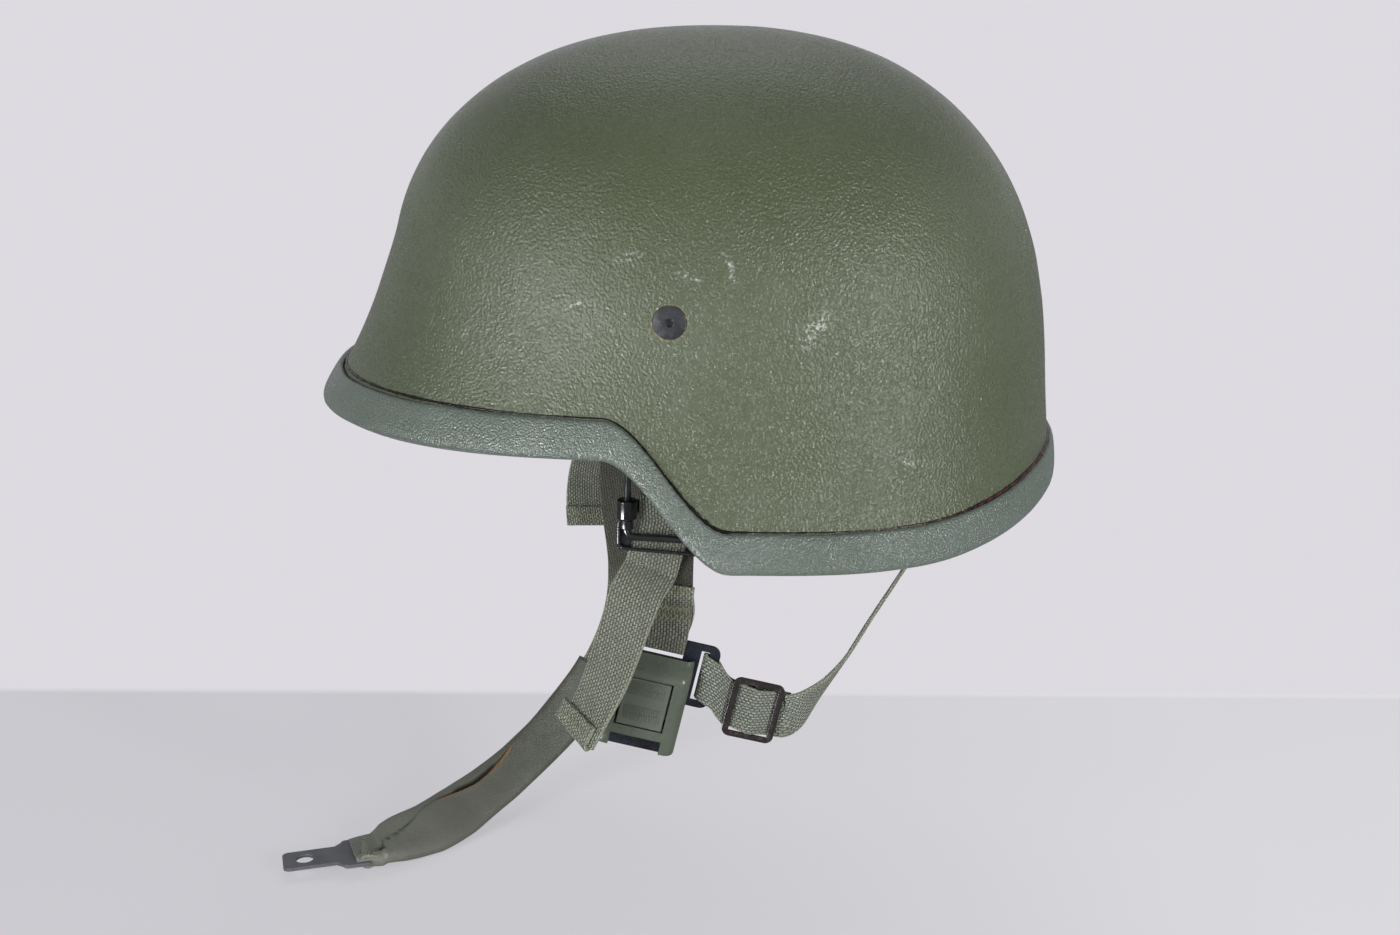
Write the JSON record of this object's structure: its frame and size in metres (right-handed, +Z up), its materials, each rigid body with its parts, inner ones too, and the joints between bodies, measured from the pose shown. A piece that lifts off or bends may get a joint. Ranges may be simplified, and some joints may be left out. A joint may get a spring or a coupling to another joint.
{
  "type": "combat helmet",
  "caption": "Composite combat helmet shell with rubber edge trim, leather head suspension, adjustable chin strap, nape strap and a push-release buckle.",
  "frame": {"origin": "middle of the head ring's oval at the height of the sweatband's lower edge", "axes": "-Y toward the brim at the front, +X toward the wearer's left, +Z up through the crown"},
  "size_m": [0.2444, 0.3288, 0.363],
  "materials": {
    "shell_paint": "rough olive paint over moulded aramid laminate",
    "trim_rubber": "pebbled green rubber with a slight sheen",
    "screw_steel": "blackened steel, worn at the rim",
    "nut_steel": "blackened steel",
    "hanger_black": "black enamelled steel strip",
    "spacer_rubber": "black rubber",
    "ring_plastic": "black moulded plastic strip",
    "sweatband_leather": "brown leather over foam",
    "finger_leather": "brown leather",
    "drawcord": "braided olive cord",
    "wire_black": "black enamelled wire, worn bright at the edges",
    "guard_black": "black enamelled pressed steel",
    "slide_bar_black": "black enamelled steel",
    "webbing": "coarse woven olive webbing",
    "nape_webbing": "coarse woven olive webbing",
    "plate_black": "black enamelled steel plate",
    "cover_green": "smooth green enamel",
    "button_green": "smooth green enamel, ribbed",
    "latch_steel": "spring steel",
    "rivet_steel": "blackened steel",
    "slide_brown": "brown-black enamelled steel",
    "sleeve_leather": "dark green leather, creased, brown at the cut edge",
    "tongue_grey": "dark grey steel, worn"
  },
  "bodies": {
    "helmet": {"shell": "shell_paint", "edge_trim": "trim_rubber", "screw_left": "screw_steel", "screw_right": "screw_steel", "screw_rear": "screw_steel", "nut_left": "nut_steel", "nut_right": "nut_steel", "nut_rear": "nut_steel", "hanger_left": "hanger_black", "hanger_right": "hanger_black", "nape_bracket": "hanger_black", "spacer_left": "spacer_rubber", "spacer_right": "spacer_rubber", "spacer_rear": "spacer_rubber", "head_ring": "ring_plastic", "sweatband": "sweatband_leather", "crown_finger_1": "finger_leather", "crown_finger_2": "finger_leather", "crown_finger_3": "finger_leather", "crown_finger_4": "finger_leather", "crown_finger_5": "finger_leather", "crown_finger_6": "finger_leather", "crown_finger_7": "finger_leather", "crown_finger_8": "finger_leather", "crown_cord": "drawcord", "nape_strap": "nape_webbing"},
    "left_loop": {"wire_loop_left": "wire_black", "guard_left": "guard_black"},
    "left_strap": {"slide_bar_left": "slide_bar_black", "strap_left": "webbing", "buckle_plate": "plate_black", "buckle_cover": "cover_green", "latch_rivet": "rivet_steel", "cover_rivet_1": "rivet_steel", "cover_rivet_2": "rivet_steel", "cover_rivet_3": "rivet_steel", "cover_rivet_4": "rivet_steel"},
    "button": {"release_button": "button_green"},
    "latch": {"latch_spring": "latch_steel"},
    "nape_adjuster": {"nape_slide": "slide_brown"},
    "right_loop": {"wire_loop_right": "wire_black", "guard_right": "guard_black"},
    "right_strap": {"slide_bar_right": "slide_bar_black", "chin_strap": "webbing", "chin_sleeve": "sleeve_leather"},
    "tongue": {"tongue_plate": "tongue_grey"}
  },
  "joints": [
    {"name": "left_loop_swing", "type": "hinge", "parent": "helmet", "child": "left_loop", "pos_m": [0.09441, -0.01517, -0.03341], "axis": [0.0589, 0.9977, -0.0348], "range_deg": [0, 35], "deforming": ["nape_strap"]},
    {"name": "left_bar_slide", "type": "slide", "parent": "left_loop", "child": "left_strap", "axis": [0.002, 0.0347, 0.9994], "range_m": [0, 0.003], "deforming": ["nape_strap"]},
    {"name": "button_press", "type": "slide", "parent": "left_strap", "child": "button", "axis": [-1, 0, 0], "range_m": [0, 0.0022], "stiffness_N_per_m": 400, "springref_m": -0.0015},
    {"name": "latch_hinge", "type": "hinge", "parent": "left_strap", "child": "latch", "pos_m": [0.0928, -0.02059, -0.10719], "axis": [0, 0.9724, -0.2334], "range_deg": [0, 8.8]},
    {"name": "nape_slide_adjust", "type": "slide", "parent": "left_strap", "child": "nape_adjuster", "axis": [0, 0.9703, -0.2419], "range_m": [-0.004, 0.006], "deforming": ["nape_strap"]},
    {"name": "right_loop_swing", "type": "hinge", "parent": "helmet", "child": "right_loop", "pos_m": [-0.09338, -0.02981, -0.03097], "axis": [0.0793, -0.9534, 0.2912], "range_deg": [-3, 35]},
    {"name": "right_bar_slide", "type": "slide", "parent": "right_loop", "child": "right_strap", "axis": [-0.0201, 0.2905, 0.9567], "range_m": [0, 0.003]},
    {"name": "tongue_hinge", "type": "hinge", "parent": "right_strap", "child": "tongue", "pos_m": [-0.00707, -0.15237, -0.23791], "axis": [-0.9682, -0.2501, 0], "range_deg": [-25, 25]}
  ],
  "couplings": [
    {"joint": "latch_hinge", "follows": "button_press", "rad_per_m": 68.18}
  ]
}
